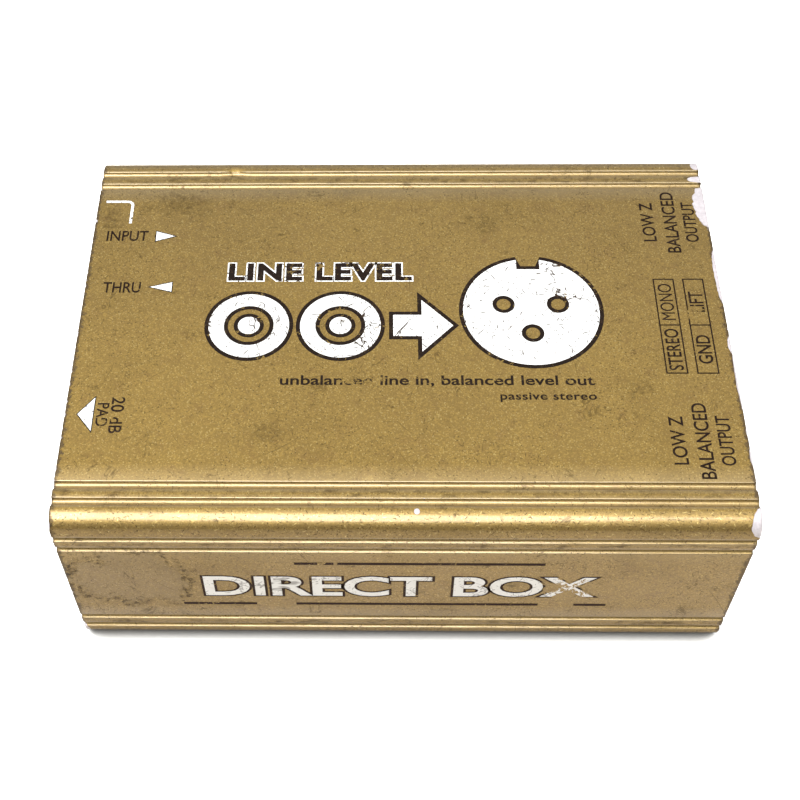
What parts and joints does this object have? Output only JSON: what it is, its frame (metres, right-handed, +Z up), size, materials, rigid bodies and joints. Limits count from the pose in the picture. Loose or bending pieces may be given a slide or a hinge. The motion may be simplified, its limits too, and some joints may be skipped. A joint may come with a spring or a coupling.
{
  "type": "direct injection box",
  "caption": "Passive stereo direct box: gold extruded case, phono and 3.5 mm inputs at one end, balanced outputs and slide switches at the other.",
  "frame": {"origin": "middle of the underside", "axes": "+X runs along the extrusion from the input end to the output end, +Y from front to back, +Z up"},
  "size_m": [0.13, 0.094, 0.045],
  "materials": {
    "gold_paint": "gold metallic paint, satin, speckled, chipped to bare metal at the edges",
    "black_anodised": "satin black anodised aluminium",
    "zinc_steel": "bright zinc-plated steel",
    "satin_nickel": "satin nickel-plated die casting",
    "bright_nickel": "bright nickel plate",
    "contact_silver": "silver-plated contact metal",
    "tinned_brass": "tinned brass",
    "spring_bronze": "phosphor bronze",
    "black_moulding": "black glass-filled nylon",
    "white_moulding": "white acetal",
    "red_moulding": "red acetal",
    "phenolic": "brown phenolic board",
    "board_green": "green solder mask on glass epoxy",
    "shield_steel": "drawn magnetic shielding alloy",
    "lamination": "varnished nickel-iron laminations",
    "winding_tape": "yellow polyester tape over copper wire",
    "resistor_lacquer": "blue lacquer with colour bands",
    "capacitor_coat": "red epoxy coat",
    "wire_grey": "grey PVC insulation",
    "wire_black": "black PVC insulation",
    "wire_white": "white PVC insulation",
    "tinned_copper": "tinned copper wire"
  },
  "bodies": {
    "root": {"extruded_case": "gold_paint", "input_panel": "black_anodised", "output_panel": "black_anodised", "input_panel_screws": "zinc_steel", "output_panel_screws": "zinc_steel", "switch_screws": "zinc_steel", "xlr_screws": "zinc_steel", "xlr_nuts": "zinc_steel", "rca_shells": "bright_nickel", "rca_insulators": "white_moulding", "rca_washers_white": "white_moulding", "rca_washers_red": "red_moulding", "rca_contacts": "tinned_brass", "rca_back_washers": "black_moulding", "rca_ground_tags": "tinned_brass", "rca_nuts": "bright_nickel", "minijack_bushing": "bright_nickel", "minijack_nut": "bright_nickel", "minijack_body": "black_moulding", "minijack_contacts": "spring_bronze", "circuit_board": "board_green", "pad_resistors": "resistor_lacquer", "lift_capacitor": "capacitor_coat", "transformer_pins": "tinned_copper", "output_wires": "wire_grey", "output_switch_wires": "wire_black", "pad_switch_wires": "wire_black", "input_wires": "wire_white", "minijack_wires": "wire_grey", "ground_wires": "tinned_copper", "front_xlr_shell": "satin_nickel", "front_xlr_insert": "black_moulding", "front_xlr_pins": "contact_silver", "front_transformer_core": "lamination", "front_transformer_bobbin": "black_moulding", "front_transformer_winding": "winding_tape", "front_transformer_can": "shield_steel", "rear_xlr_shell": "satin_nickel", "rear_xlr_insert": "black_moulding", "rear_xlr_pins": "contact_silver", "rear_transformer_core": "lamination", "rear_transformer_bobbin": "black_moulding", "rear_transformer_winding": "winding_tape", "rear_transformer_can": "shield_steel", "pad_switch_frame": "zinc_steel", "pad_switch_base": "phenolic", "pad_switch_terminals": "tinned_brass", "stereo_switch_frame": "zinc_steel", "stereo_switch_base": "phenolic", "stereo_switch_terminals": "tinned_brass", "lift_switch_frame": "zinc_steel", "lift_switch_base": "phenolic", "lift_switch_terminals": "tinned_brass"},
    "pad_switch_actuator": {"pad_switch_slider": "black_moulding", "pad_switch_clips": "spring_bronze"},
    "stereo_switch_actuator": {"stereo_switch_slider": "black_moulding", "stereo_switch_clips": "spring_bronze"},
    "lift_switch_actuator": {"lift_switch_slider": "black_moulding", "lift_switch_clips": "spring_bronze"}
  },
  "joints": [
    {"name": "pad_switch_slide", "type": "slide", "parent": "root", "child": "pad_switch_actuator", "axis": [0, 0, 1], "range_m": [0, 0.0032]},
    {"name": "stereo_switch_slide", "type": "slide", "parent": "root", "child": "stereo_switch_actuator", "axis": [0, 1, 0], "range_m": [0, 0.0032]},
    {"name": "lift_switch_slide", "type": "slide", "parent": "root", "child": "lift_switch_actuator", "axis": [0, 1, 0], "range_m": [0, 0.0032]}
  ]
}
